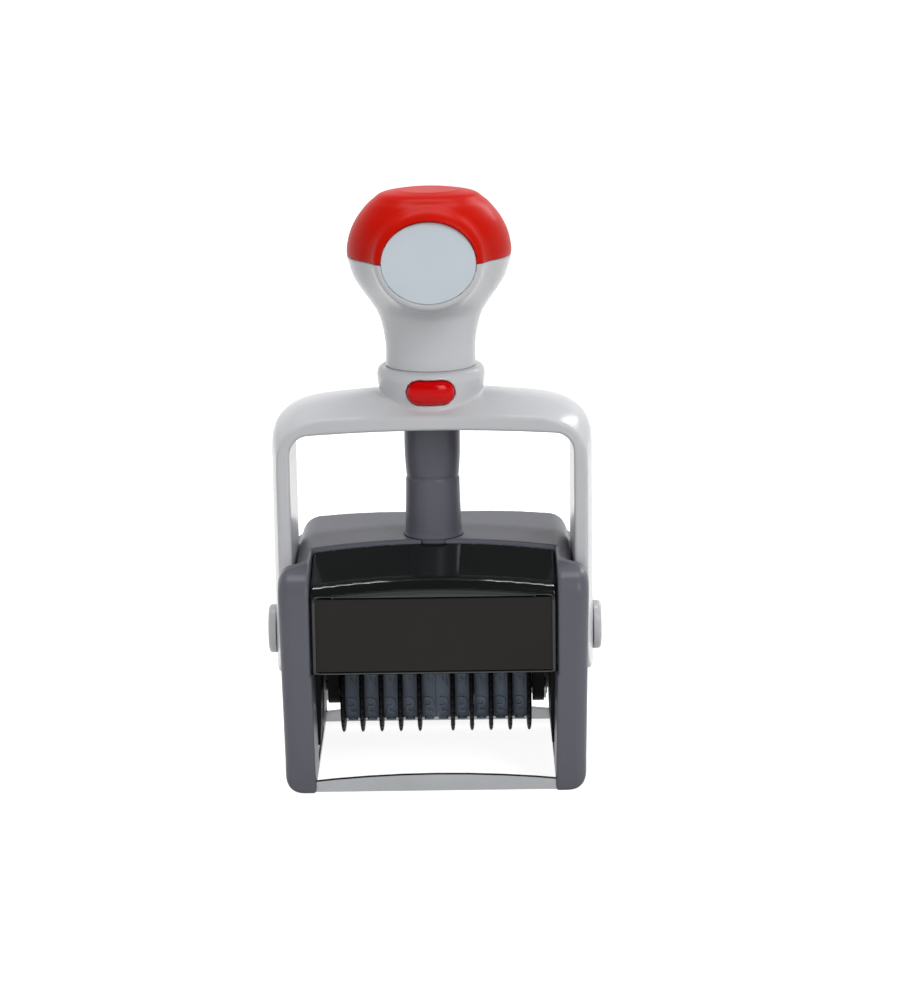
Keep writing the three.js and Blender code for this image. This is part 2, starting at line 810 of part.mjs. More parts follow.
function collar() {
  const profile = new THREE.SplineCurve([
    new THREE.Vector2(collarRadius - 2 * collarRound / 3, collarBase),
    new THREE.Vector2(collarRadius, (collarBase + collarTop) / 2),
    new THREE.Vector2(collarRadius, buttonCentre),
    new THREE.Vector2(collarRadius - collarRound / 3, (buttonCentre + collarTop) / 2),
    new THREE.Vector2(collarRadius - collarRound, collarTop),
  ]).getPoints(9).map((point) => [point.x, point.y]);
  const ring = turned([[0, collarBase], ...profile, [0, collarTop]]);
  return toSolid(ring.scale(1, collarDepthRatio, 1));
}

function yoke() {
  const flat = yokeHalfDepth - yokeEdge;
  const faceShares = [0, 0.5, 1];
  const edgeShares = [0.6, 1];
  const depths = [
    ...faceShares.map((share) => share * flat),
    ...edgeShares.map((share) => flat + share * yokeEdge),
  ];
  const stations = [...depths.slice(1).reverse().map((depth) => -depth), ...depths];
  const arch = loft(stations.map(yokeRing))
    .intersect(alongX(armOutline(), -armOuterX, armOuterX));
  const socket = rodZ(socketRadius, buttonCentre, collarTop + socketHeight);
  const bore = rodZ(boreRadius, -overrun, knobTop);
  const pocketShape = obround(buttonWidth + 2 * seatGap, 2 * pocketHalfHeight);
  const pocket = alongY(pocketShape, -buttonFront - overrun, -pocketFloor)
    .translate([0, 0, buttonCentre]);
  const pinHole = rodX(pinRadius + seatGap, -knobTop, knobTop, pivotHeight);
  const capSeat = rodX(spigotRadius + seatGap, armOuterX - spigotDepth, knobTop, pivotHeight);
  const knobPinHole = rodY(knobPinRadius + seatGap, 0, knobTop, knobPinHeight, 12);
  return cut(
    join(arch, collar(), socket), bore, pocket, pinHole, capSeat, mirrored(capSeat), knobPinHole,
  );
}
place('handle_yoke', yoke(), lightGrey);

// Lock button: a domed oval that goes into its pocket
function lockButton() {
  const shape = obround(buttonWidth - 2 * buttonEdge, buttonHeight - 2 * buttonEdge);
  const dome = new THREE.ExtrudeGeometry(shape, {
    depth: buttonFront - buttonBack - buttonEdge,
    bevelThickness: buttonEdge,
    bevelSize: buttonEdge,
    bevelSegments: 4,
    curveSegments: 6,
  });
  const whole = toSolid(dome.translate(0, 0, buttonBack).applyMatrix4(frontBasis));
  const kept = slab(
    -buttonWidth, buttonWidth, -buttonFront - overrun, -buttonBack, -buttonHeight, buttonHeight,
  );
  return whole.intersect(kept).translate([0, 0, buttonCentre]);
}
place('lock_button', lockButton(), red);

// Knob: one outer form with an oval ring for the badge, parted into a grey shell and a red cap
const badgeTilt = new THREE.Matrix4()
  .makeRotationX(-THREE.MathUtils.degToRad(badgeLean))
  .setPosition(0, -badgeDepth, badgeHeight);
function badgeDisc(margin, back, front) {
  const shape = oval(badgeHalfWidth + margin, badgeHalfHeight + margin);
  const disc = extruded(shape, front - back, 14).translate(0, 0, back).applyMatrix4(frontBasis);
  return toSolid(disc.applyMatrix4(badgeTilt));
}

const knobProfile = new THREE.SplineCurve(knobShares.map(([radiusShare, heightShare]) => (
  new THREE.Vector2(bulbRadius * radiusShare, collarTop + knobHeight * heightShare)
))).getPoints(18).map((point) => [point.x, point.y]);
const knobForm = toSolid(turned([[0, collarTop], ...knobProfile, [0, knobTop]]))
  .add(badgeDisc(badgeRing, -bulbRadius / 2, 0))
  .subtract(badgeDisc(seatGap, -badgeThickness - seatGap, overrun));

function knobShell() {
  const below = slab(-knobTop, knobTop, -knobTop, knobTop, 0, splitHeight);
  const socket = rodZ(socketRadius + seatGap, 0, collarTop + socketHeight + seatGap);
  const bore = rodZ(boreRadius, 0, knobBoreTop);
  const hollow = toSolid(turned([
    [0, knobBoreTop + knobFloor],
    [hollowRadius - knobFloor, knobBoreTop + knobFloor],
    [hollowRadius, splitHeight - knobFloor],
    [hollowRadius, splitHeight + overrun],
    [0, splitHeight + overrun],
  ]));
  const rim = rodZ(rimRadius, splitHeight - knobFloor, splitHeight + rimHeight);
  const pinHole = rodY(knobPinRadius + seatGap, 0, knobTop, knobPinHeight, 12);
  return cut(knobForm.intersect(below).add(rim), socket, bore, hollow, pinHole);
}
place('knob_shell', knobShell(), lightGrey);

function knobCap() {
  const above = slab(-knobTop, knobTop, -knobTop, knobTop, splitHeight, knobTop + overrun);
  const hollow = toSolid(turned([[0, collarTop], ...knobProfile, [0, knobTop]])
    .translate(0, 0, -splitHeight)
    .scale(capHollowShare, capHollowShare, capHollowShare)
    .translate(0, 0, splitHeight));
  return knobForm.intersect(above).subtract(hollow);
}
place('knob_cap', knobCap(), red);

place('knob_badge', badgeDisc(0, -badgeThickness, 0), badgeGrey);

place('knob_pin', rodY(
  knobPinRadius, boreRadius + seatGap, knobShares[0][0] * bulbRadius - seatGap, knobPinHeight, 12,
), steel);

// Pivot pins, held in the arms by their caps
const pinInner = headSideInner + seatGap;
const pinOuter = armOuterX - spigotDepth - seatGap;
placePair('pivot_pin', rodX(pinRadius, pinInner, pinOuter, pivotHeight), steel);

function pivotCap() {
  const spigotEnd = armOuterX - spigotDepth;
  const face = armOuterX + capStand;
  const cap = turned([
    [0, spigotEnd],
    [spigotRadius, spigotEnd],
    [spigotRadius, armOuterX],
    [capRadius, armOuterX],
    [capRadius, face - capEdge],
    [capRadius - capEdge / 3, face - capEdge / 3],
    [capRadius - capEdge, face],
    [0, face],
  ], 24);
  return toSolid(cap.rotateY(Math.PI / 2).translate(0, 0, pivotHeight));
}
placePair('pivot_cap', pivotCap(), lightGrey);

// Sides of the printing head: wide at the pivot, with a lug for the axle below
const typeFrameInner = printHalfDepth + typeFrameGap;
const typeFrameOuter = typeFrameInner + typeFrameDepth;
const typeFrameTop = bandTop - typeFrameDrop;
const headSideTop = typeFrameTop - typeFrameHeight;
const bridgeTop = bandTop - bandThickness - seatGap;
const screwHeight = bridgeTop - bridgeHeight + screwHeadRadius / 2;
function headSide() {
  const waist = pivotHeight - headSideWaist;
  const shape = new THREE.Shape();
  shape.moveTo(-typeFrameOuter, headSideTop);
  shape.lineTo(-typeFrameOuter, waist);
  shape.lineTo(-axleLugRadius, axleHeight);
  shape.absarc(0, axleHeight, axleLugRadius, Math.PI, 2 * Math.PI, false);
  shape.lineTo(typeFrameOuter, waist);
  shape.lineTo(typeFrameOuter, headSideTop);
  return cut(
    alongX(shape, headSideInner, headSideOuter),
    rodX(pinRadius + seatGap, 0, knobTop, pivotHeight),
    rodX(axleRadius + seatGap, 0, knobTop, axleHeight, 16),
    rodX(screwShankRadius + seatGap, 0, knobTop, screwHeight, 12),
  );
}
placePair('head_side', headSide(), black);

// Steel frame round the type faces
place('type_frame', cut(
  slab(-headSideOuter, headSideOuter, -typeFrameOuter, typeFrameOuter, headSideTop, typeFrameTop),
  slab(
    -headSideInner, headSideInner, -typeFrameInner, typeFrameInner,
    headSideTop - overrun, typeFrameTop + overrun,
  ),
), steel);

// Type bridge, over which the bands turn, and its screws
const bridgeHalfDepth = printHalfDepth - bandThickness - seatGap;
const bridgeScrewHole = rodX(
  screwShankRadius + seatGap, headSideInner - screwDepth, knobTop, screwHeight, 12,
);
place('type_bridge', cut(
  slab(
    -headSideInner, headSideInner, -bridgeHalfDepth, bridgeHalfDepth,
    bridgeTop - bridgeHeight, bridgeTop,
  ),
  bridgeScrewHole,
  mirrored(bridgeScrewHole),
), steel);

function bridgeScrew() {
  const tip = headSideInner - screwDepth + seatGap;
  const screw = turned([
    [0, tip],
    [screwShankRadius, tip],
    [screwShankRadius, headSideOuter],
    [screwHeadRadius, headSideOuter],
    [screwHeadRadius, headSideOuter + screwHeadHeight / 2],
    [screwHeadRadius - screwHeadHeight / 2, headSideOuter + screwHeadHeight],
    [0, headSideOuter + screwHeadHeight],
  ], 12);
  return toSolid(screw.rotateY(Math.PI / 2).translate(0, 0, screwHeight));
}
placePair('bridge_screw', bridgeScrew(), steel);

// Axle of the thumb wheels, with a clip outside each head side
place('wheel_axle', rodX(axleRadius, -axleEnd, axleEnd, axleHeight, 16), steel);

placePair('axle_clip', cut(
  rodX(clipRadius, headSideOuter, headSideOuter + clipThickness, axleHeight, 16),
  rodX(axleRadius + seatGap / 2, 0, knobTop, axleHeight, 16),
), steel);

// One thumb wheel: a hub that turns its band, and a disc for the thumb
function thumbWheel(slot) {
  const hubStart = slot * bandPitch + wheelGap;
  const discEnd = hubStart + bandPitch - 2 * wheelGap;
  const discStart = discEnd - discThickness;
  const bevel = (discThickness - discEdge) / 2;
  const bore = axleRadius + seatGap;
  const wheel = turned([
    [bore, hubStart],
    [hubRadius, hubStart],
    [hubRadius, discStart],
    [discRadius - 2 * discEdge, discStart],
    [discRadius, discStart + bevel],
    [discRadius, discEnd - bevel],
    [discRadius - 2 * discEdge, discEnd],
    [bore, discEnd],
    [bore, hubStart],
  ], 18);
  return toSolid(wheel.rotateY(Math.PI / 2).translate(0, 0, axleHeight));
}

// One number band: a belt round the hub below and the bridge above
function beltPath(path, inset) {
  const hub = hubRadius + seatGap + bandThickness - inset;
  const corner = printCorner - inset;
  const cornerY = printHalfDepth - printCorner;
  const cornerZ = bandTop - printCorner;
  const rise = cornerZ - axleHeight;
  const span = Math.hypot(cornerY, rise);
  const lean = Math.atan2(rise, cornerY) - Math.acos((hub - corner) / span);
  path.absarc(0, axleHeight, hub, Math.PI - lean, 2 * Math.PI + lean, false);
  path.absarc(cornerY, cornerZ, corner, lean, Math.PI / 2, false);
  path.absarc(-cornerY, cornerZ, corner, Math.PI / 2, Math.PI - lean, false);
  return path;
}

function numberBand(slot) {
  const belt = beltPath(new THREE.Shape(), 0);
  belt.holes.push(beltPath(new THREE.Path(), bandThickness));
  const start = slot * bandPitch + wheelGap;
  const end = start + bandPitch - discThickness - 3 * wheelGap;
  return alongX(belt, start, end, 4);
}

// Wheels and bands are numbered from left to right
for (let slot = 0; slot < bandPairs; slot += 1) {
  const right = String(bandPairs + 1 + slot).padStart(2, '0');
  const left = String(bandPairs - slot).padStart(2, '0');
  place(`thumb_wheel_${right}`, thumbWheel(slot), black);
  place(`thumb_wheel_${left}`, mirrored(thumbWheel(slot)), black);
  place(`number_band_${right}`, numberBand(slot), rubber);
  place(`number_band_${left}`, mirrored(numberBand(slot)), rubber);
}

// Drawer with the ink pad: a plate on the ledges, a shallow box for the pad and a face at the back
function padDrawer() {
  const plateX = linerInnerX - seatGap;
  const boxY = padHalfDepth + seatGap + trayWall;
  const faceY = housingHalfDepth - trayFace;
  const faceX = pillarInnerTop - seatGap;
  const plate = slab(-plateX, plateX, -boxY, faceY, trayFlangeLow, trayTop);
  const box = slab(-trayHalfWidth, trayHalfWidth, -boxY, boxY, padHeight + seatGap, trayTop);
  const pocketX = padHalfWidth + seatGap;
  const pocketY = padHalfDepth + seatGap;
  const pocket = slab(
    -pocketX, pocketX, -pocketY, pocketY, padHeight - overrun, trayTop - trayWall + seatGap,
  );
  const face = slab(-faceX, faceX, faceY, housingHalfDepth, padHeight, trayTop);
  const grip = slab(
    -gripHalfWidth, gripHalfWidth, housingHalfDepth - gripDepth, housingHalfDepth + overrun,
    padHeight + trayWall, trayTop - trayWall,
  );
  return cut(join(plate, box, face), pocket, grip);
}
place('pad_drawer', padDrawer(), black);

place('ink_pad', slab(
  -padHalfWidth, padHalfWidth, -padHalfDepth, padHalfDepth, padHeight, trayTop - trayWall,
), felt);

export default machine;
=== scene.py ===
import math
from itertools import product

import bmesh
import bpy
import numpy as np
from mathutils import Matrix, Vector


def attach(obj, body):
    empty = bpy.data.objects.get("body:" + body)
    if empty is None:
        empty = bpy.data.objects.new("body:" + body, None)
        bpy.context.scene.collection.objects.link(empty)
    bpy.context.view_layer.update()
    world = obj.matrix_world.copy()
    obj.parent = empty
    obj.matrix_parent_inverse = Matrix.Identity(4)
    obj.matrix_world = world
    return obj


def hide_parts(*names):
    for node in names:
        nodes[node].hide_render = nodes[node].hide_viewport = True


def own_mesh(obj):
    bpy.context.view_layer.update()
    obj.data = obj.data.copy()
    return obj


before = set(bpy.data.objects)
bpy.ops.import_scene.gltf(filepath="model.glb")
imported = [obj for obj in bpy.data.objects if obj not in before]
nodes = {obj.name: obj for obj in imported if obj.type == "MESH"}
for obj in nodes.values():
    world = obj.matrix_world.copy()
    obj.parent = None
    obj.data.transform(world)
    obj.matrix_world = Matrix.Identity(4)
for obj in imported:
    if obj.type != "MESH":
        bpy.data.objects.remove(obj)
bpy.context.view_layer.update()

MM = 0.001


# Sizes in millimetres, as in the part
pivot_z = 34.8
axle_z = 17.7
column_hole_radius = 7.5
parting_gap = 0.02

housing_top = 59.9
housing_half_depth = 33
housing_half_width = 39.2
housing_foot_half_width = 38.2
housing_shoulder_z = 54.8
housing_drop = 2.5
housing_drop_width = 34.4

# Hollows of the housing
housing_inner = 30.4
pillar_draft = 0.9
cavity_half_depth = 30.5
ceiling_z = 54.5
window_half_width = 31.3
window_back = 7.1
channel_side = 35.6
channel_half_depth = 17.9
channel_foot = 3.4
shoulder_foot = 53
back_opening_top = 8.7
drawer_foot = 47.6
drawer_top = 52.4
plate_slot_half_width = 32.6
plate_slot_half_depth = 15.3
rail_slot_half_width = 34.3
rail_slot_half_depth = 31.8
rail_slot_height = 1.8
bar_slot_back = 29.7
bar_slot_height = 3.3
column_hole_foot = 50
pin_slot_foot = 12.8
pin_slot_radius = 3

# Window cover
cover_half_width = 31
cover_foot = 30.5
cover_crown = 2.1
card_seat_half_width = 29.8
card_seat_back = 29.5
card_seat_foot = 31.0
card_seat_top = 50.3

# Handle
arm_outer = 41.3
arm_inner = 36
arm_half_depth = 17.5
arm_foot = 26
arm_foot_radius = 8
arch_top = 98.6
arch_under = 90.4
arch_edge_fall = 4.6
shoulder_edge_fall = 2.9
shoulder_x = 29
arm_crown = 2
collar_top = 104.4
collar_depth_share = 1.15
pin_hole_radius = 2.8
cap_seat_radius = 4.5
cap_seat_x = 38.5
pocket_width = 12.3
pocket_height = 6.6
pocket_floor = 9
button_z = 99.7
button_width = 12.1
button_height = 6.4
button_front = 16.98
button_back = 12.18
knob_radius = 21
knob_height = 45.1
knob_bore_top = 121.5
socket_radius = 9.3
socket_top = 112.3
split_z = 133
badge_y = -19.2
badge_z = 133.3
badge_half_width = 11.9
badge_half_height = 10.2
badge_depth = 1.1
ring_half_width = 13.5
ring_half_height = 11.8
ring_depth = 10.5
badge_lean = math.radians(12)

# Bands, thumb wheels and spring
band_pairs = 5
band_pitch = 5
band_thickness = 1.2
band_edge = 0.15
band_reach = 3.62
band_lap = 0.17
middle_gap = 0.01
wheel_gap = 0.1
wheel_width = 4.8
disc_radius = 11
disc_thickness = 1.15
hub_radius = 5.9
hub_lap = 0.09
axle_bore = 1.8
notch_depth = 0.3
notch_count = 30
belt_step = 0.6
places_round_belt = 12
figure_width = 2.5
narrow_figure_width = 1.3
figure_height = 4.6
figure_lift = 0.25
figure_depth = 0.62

# Outlines run past the middle and past the piece by these, so that only their near sides count
inward = -20
outward = 80


# Camera at the photograph's viewing angle, in metres and radians
camera_data = bpy.data.cameras.new("camera")
camera_data.sensor_width = 36
camera_data.lens = 110.3
camera = bpy.data.objects.new("camera", camera_data)
camera.location = (0.00903, -0.77488, 0.24429)
pitch, yaw, roll = 0.223, -0.006, 0.015
facing = Matrix.Rotation(-yaw, 3, "Z") @ Matrix.Rotation(math.pi / 2 - pitch, 3, "X")
camera.rotation_euler = (facing @ Matrix.Rotation(-roll, 3, "Z")).to_euler()
bpy.context.collection.objects.link(camera)
bpy.context.scene.camera = camera


# Fields: a field gives each point's distance to a surface in millimetres, negative inside
def meet(a, b, radius):
    """What is inside both, with the edge between them rounded."""
    past_edge = np.hypot(np.maximum(a + radius, 0), np.maximum(b + radius, 0))
    return np.minimum(-radius, np.maximum(a, b)) + past_edge


def fuse(a, b, radius):
    """What is inside either, with a fillet between them."""
    short_of_edge = np.hypot(np.maximum(radius - a, 0), np.maximum(radius - b, 0))
    return np.maximum(radius, np.minimum(a, b)) - short_of_edge


def carve(a, b, radius):
    """What is inside the first and outside the second."""
    return meet(a, -b, radius)


def all_of(*fields):
    """What is inside every one of them, with sharp edges."""
    return np.maximum.reduce(fields)


def ramp(value, start, end):
    """0 up to the start, 1 from the end on, and even between them."""
    return np.clip((value - start) / (end - start), 0, 1)


def outline(u, v, points):
    """Distance to a closed outline in two dimensions."""
    corners = np.asarray(points, float)
    nearest = np.full(np.shape(u), np.inf)
    inside = np.zeros(np.shape(u), bool)
    for (u0, v0), (u1, v1) in zip(corners, np.roll(corners, -1, axis=0)):
        du, dv = u1 - u0, v1 - v0
        if du == dv == 0:
            continue
        share = np.clip(((u - u0) * du + (v - v0) * dv) / (du * du + dv * dv), 0, 1)
        nearest = np.minimum(nearest, (u - u0 - share * du) ** 2 + (v - v0 - share * dv) ** 2)
        if dv != 0:
            crosses = (v0 > v) != (v1 > v)
            inside ^= crosses & (u < u0 + (v - v0) * du / dv)
    return np.where(inside, -1, 1) * np.sqrt(nearest)


def rounded_box(*sides, radius):
    """Distance to a box from each axis's distance past its faces, with rounded edges."""
    past = [side + radius for side in sides]
    outside = np.sqrt(sum(np.maximum(side, 0) ** 2 for side in past))
    return outside + np.minimum(all_of(*past), 0) - radius


def oval(u, v, half_u, half_v):
    scaled = np.hypot(u / half_u, v / half_v)
    steep = np.maximum(np.hypot(u / half_u**2, v / half_v**2), 1e-9)
    return scaled * (scaled - 1) / steep


def obround(u, v, width, height):
    reach = (width - height) / 2
    return np.hypot(np.maximum(np.abs(u) - reach, 0), v) - height / 2


def sampled(field, low, counts, step):
    """The field on a grid: in blocks, and point by point only in those near the surface."""
    block = 4
    near = 1.6 * block * step
    blocks = [-(-count // block) for count in counts]
    inner = (np.arange(block) - (block - 1) / 2) * step
    centres = [low[i] + (np.arange(blocks[i]) * block + (block - 1) / 2) * step for i in range(3)]
    coarse = field(*np.meshgrid(*centres, indexing="ij"))
    spread = coarse[:, None, :, None, :, None]
    values = np.broadcast_to(spread, (blocks[0], block, blocks[1], block, blocks[2], block)).copy()
    i, j, k = np.nonzero(np.abs(coarse) < near)
    shape = (len(i), block, block, block)
    x = np.broadcast_to(centres[0][i][:, None, None, None] + inner[:, None, None], shape)
    y = np.broadcast_to(centres[1][j][:, None, None, None] + inner[:, None], shape)
    z = np.broadcast_to(centres[2][k][:, None, None, None] + inner, shape)
    values[i, :, j, :, k, :] = field(x, y, z)
    return values.reshape([count * block for count in blocks])


def net(values, low, step):
    """Points and quads of the surface where the sampled field is zero."""
    inside = values < 0
    size = np.array(values.shape) - 1
    first = inside[: size[0], : size[1], : size[2]]
    mixed = np.zeros(size, bool)
    for i, j, k in product((0, 1), repeat=3):
        mixed |= inside[i : size[0] + i, j : size[1] + j, k : size[2] + k] != first
    number = np.full(size, -1)
    number[mixed] = np.arange(mixed.sum())
    cells = np.argwhere(mixed)
    total = np.zeros((len(cells), 3))
    count = np.zeros(len(cells))
    quads = []
    for axis in range(3):
        unit = np.eye(3, dtype=int)
        u, v = unit[(axis + 1) % 3], unit[(axis + 2) % 3]
        for du, dv in product((0, 1), repeat=2):
            start = cells + du * u + dv * v
            a = values[tuple(start.T)]
            b = values[tuple((start + unit[axis]).T)]
            crossed = (a < 0) != (b < 0)
            share = np.where(crossed, a / np.where(crossed, a - b, 1), 0)
            total += (start + share[:, None] * unit[axis]) * crossed[:, None]
            count += crossed
        edges = np.argwhere(inside != np.roll(inside, -1, axis))
        turns = ((0, 0), (1, 0), (1, 1), (0, 1))
        ring = np.stack([number[tuple((edges - du * u - dv * v).T)] for du, dv in turns], 1)
        leaves = inside[tuple(edges.T)]
        quads.append(np.where(leaves[:, None], ring, ring[:, ::-1]))
    return low + step * total / count[:, None], np.concatenate(quads)


def slope(points, field, reach):
    steps = np.eye(3) * reach
    return np.stack([field(*(points + s).T) - field(*(points - s).T) for s in steps], 1) / (2 * reach)


def link(name, mesh, body, replaced, material):
    piece = bpy.data.objects.new(name, mesh)
    bpy.context.collection.objects.link(piece)
    mesh.materials.append(material)
    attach(piece, body)
    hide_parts(*replaced)
    return piece


def carved(name, field, low, high, step, body, replaced, material):
    """A piece whose surface is the zero of a field, between two corners in millimetres."""
    low = np.asarray(low, float) - 2 * step
    counts = [int(math.ceil((h - l) / step)) + 3 for l, h in zip(low, high)]
    points, quads = net(sampled(field, low, counts, step), low, step)
    for _ in range(2):
        away = slope(points, field, step / 10)
        size = np.maximum((away**2).sum(1), 0.1)
        shift = np.clip(field(*points.T), -step / 2, step / 2) / size
        points = points - shift[:, None] * away
    away = slope(points, field, step / 3)
    away /= np.maximum(np.linalg.norm(away, axis=1, keepdims=True), 1e-9)
    mesh = bpy.data.meshes.new(name)
    mesh.from_pydata((points * MM).tolist(), [], quads.tolist())
    mesh.polygons.foreach_set("use_smooth", [True] * len(mesh.polygons))
    mesh.normals_split_custom_set_from_vertices(away.tolist())
    return link(name, mesh, body, replaced, material)


# Skins: a mesh over loops that all have the same number of points
def skin(loops, ring=False):
    """Vertices and faces over the loops. In a ring the last joins the first, else both ends are closed."""
    count = len(loops[0])
    rows = len(loops)
    vertices = [tuple(point) for loop in loops for point in loop]
    faces = []
    for r in range(rows if ring else rows - 1):
        here, there = r * count, (r + 1) % rows * count
        for i in range(count):
            j = (i + 1) % count
            faces.append((here + i, here + j, there + j, there + i))
    if not ring:
        faces.append(tuple(reversed(range(count))))
        faces.append(tuple((rows - 1) * count + i for i in range(count)))
    return vertices, faces


def turned_loops(profile, segments, place=Matrix(), squash=1.0, rim=None):
    """Loops about Z through points of radius and height. rim shrinks or swells the radius by angle."""
    loops = []
    for radius, height in profile:
        loop = []
        for i in range(segments):
            angle = 2 * math.pi * i / segments
            r = radius + (rim(angle, radius) if rim else 0)
            loop.append(place @ Vector((r * math.cos(angle), squash * r * math.sin(angle), height)))
        loops.append(loop)
    return loops


def built(name, vertices, faces, body, slot, replaced, material, smooth=40):
    """A piece from vertices in millimetres, shaded smooth except at edges steeper than smooth."""
    mesh = bpy.data.meshes.new(name)
    mesh.from_pydata([tuple(Vector(v) * MM) for v in vertices], [], faces)
    work = bmesh.new()
    work.from_mesh(mesh)
    bmesh.ops.recalc_face_normals(work, faces=work.faces)
    work.to_mesh(mesh)
    work.free()
    mesh.shade_smooth()
    mesh.set_sharp_from_angle(angle=math.radians(smooth))
    return link(name, mesh, body, replaced, material)


def curve(points, count):
    """A smooth line through points in two dimensions."""
    p = np.asarray(points, float)
    p = np.vstack([2 * p[0] - p[1], p, 2 * p[-1] - p[-2]])
    line = []
    for t in np.linspace(0, len(p) - 3 - 1e-9, count):
        i = int(t)
        s = t - i
        a, b, c, d = p[i : i + 4]
        first, second, third = c - a, 2 * a - 5 * b + 4 * c - d, 3 * b - a - 3 * c + d
        line.append(0.5 * (2 * b + first * s + second * s**2 + third * s**3))
    return line


def quadratic(start, control, end, count=10):
    shares = np.linspace(0, 1, count)[:, None]
    start, control, end = (np.asarray(p, float) for p in (start, control, end))
    return list((1 - shares) ** 2 * start + 2 * shares * (1 - shares) * control + shares**2 * end)


def quarter(centre, reach_u, reach_v, start, end, count=14):
    angles = np.linspace(start, end, count)
    return [(centre[0] + reach_u * math.cos(a), centre[1] + reach_v * math.sin(a)) for a in angles]


# Materials: each one varies in tone, in gloss and in its fine surface
def srgb(r, g, b):
    return [(c / 255 / 12.92) if c <= 10 else ((c / 255 + 0.055) / 1.055) ** 2.4 for c in (r, g, b)]


def mixed_tones(tree, dark, light, factor):
    """The output that goes from the dark colour to the light one with the factor."""
    tones = tree.nodes.new("ShaderNodeMix")
    tones.data_type = "RGBA"
    tones.inputs["A"].default_value = (*dark, 1)
    tones.inputs["B"].default_value = (*light, 1)
    tree.links.new(factor, tones.inputs["Factor"])
    return tones.outputs["Result"]


def mapped(tree, value, low=0.0, high=1.0, low_to=0.0, high_to=1.0):
    """The output that takes a value from one range to another."""
    node = tree.nodes.new("ShaderNodeMapRange")
    node.inputs["From Min"].default_value = low
    node.inputs["From Max"].default_value = high
    node.inputs["To Min"].default_value = low_to
    node.inputs["To Max"].default_value = high_to
    tree.links.new(value, node.inputs["Value"])
    return node.outputs["Result"]


def noise(tree, where, size, detail):
    node = tree.nodes.new("ShaderNodeTexNoise")
    node.inputs["Scale"].default_value = 1 / size
    node.inputs["Detail"].default_value = detail
    tree.links.new(where, node.inputs["Vector"])
    return node.outputs["Fac"]


def surface(name, colour, tone, roughness, spread, grain, height, metallic=0.0, specular=0.5,
            stretch=(1, 1, 1), patch=0.02):
    """tone and spread say how far colour and gloss vary. grain, height and patch are in metres."""
    made = bpy.data.materials.new(name)
    made.use_nodes = True
    tree = made.node_tree
    shader = tree.nodes["Principled BSDF"]
    shader.inputs["Metallic"].default_value = metallic
    shader.inputs["Specular IOR Level"].default_value = specular
    where = tree.nodes.new("ShaderNodeTexCoord").outputs["Object"]
    mapping = tree.nodes.new("ShaderNodeMapping")
    mapping.inputs["Scale"].default_value = stretch
    tree.links.new(where, mapping.inputs["Vector"])
    broad = noise(tree, where, patch, 4)
    fine = noise(tree, mapping.outputs["Vector"], grain, 1)
    dark = [c * (1 - tone) for c in colour]
    light = [min(1, c * (1 + tone)) for c in colour]
    tones = mixed_tones(tree, dark, light, mapped(tree, broad, 0.35, 0.65))
    tree.links.new(tones, shader.inputs["Base Color"])
    gloss = mapped(tree, fine, low_to=roughness - spread, high_to=roughness + spread)
    tree.links.new(gloss, shader.inputs["Roughness"])
    bump = tree.nodes.new("ShaderNodeBump")
    bump.inputs["Distance"].default_value = height
    tree.links.new(fine, bump.inputs["Height"])
    tree.links.new(bump.outputs["Normal"], shader.inputs["Normal"])
    return made


grey_plastic = surface(
    "grey_plastic", srgb(193, 194, 197), tone=0.015, roughness=0.22, spread=0.03, grain=0.004,
    height=0.000001, specular=0.22)
slate_plastic = surface(
    "slate_plastic", srgb(91, 92, 101), tone=0.03, roughness=0.36, spread=0.04, grain=0.0008,
    height=0.000004, specular=0.25)
red_plastic = surface(
    "red_plastic", srgb(190, 20, 6), tone=0.03, roughness=0.34, spread=0.04, grain=0.003,
    height=0.000002, specular=0.06)
red_gloss = surface(
    "red_gloss", srgb(202, 2, 4), tone=0.04, roughness=0.14, spread=0.02, grain=0.002,
    height=0.000001, specular=0.14)
badge_grey = surface(
    "badge_grey", srgb(196, 206, 213), tone=0.02, roughness=0.4, spread=0.04, grain=0.0003,
    height=0.000003, specular=0.15)
smoked = surface(
    "smoked_plastic", srgb(21, 24, 24), tone=0.08, roughness=0.1, spread=0.02, grain=0.004,
    height=0.000001)
card_dark = surface(
    "card", srgb(34, 32, 31), tone=0.06, roughness=0.5, spread=0.08, grain=0.0002,
    height=0.000006, stretch=(1, 1, 0.4), specular=0.15)
black = surface(
    "black_plastic", srgb(16, 16, 19), tone=0.1, roughness=0.5, spread=0.08, grain=0.0004,
    height=0.00001, specular=0.12)
rubber = surface(
    "band_rubber", srgb(112, 121, 134), tone=0.14, roughness=0.62, spread=0.1, grain=0.0003,
    height=0.00002, patch=0.006, specular=0.2)
steel = surface(
    "steel", srgb(158, 160, 162), tone=0.04, roughness=0.3, spread=0.07, grain=0.0002,
    height=0.000004, metallic=1.0, stretch=(0.06, 1, 1))
felt = surface(
    "felt", srgb(26, 26, 34), tone=0.25, roughness=0.95, spread=0.04, grain=0.00025,
    height=0.00008, patch=0.003)


# Housing: its side walls and its section from front to back meet, then the hollows are carved
wall_outline = [(inward, 0), (33.2, 0)]
wall_outline += quadratic((33.2, 0), (housing_foot_half_width, 0), (housing_foot_half_width, 5))
wall_outline += [(housing_half_width, housing_shoulder_z), (housing_half_width, outward), (inward, outward)]
side_outline = [(-housing_half_depth, inward), (housing_half_depth, inward), (housing_half_depth, 49.9)]
side_outline += quadratic((housing_half_depth, 49.9), (housing_half_depth, housing_top), (23, housing_top))
side_outline += quadratic((0, housing_top), (-16.5, housing_top), (-27, 56.6))
side_outline += quadratic((-27, 56.6), (-housing_half_depth, 55), (-housing_half_depth, 48.6))


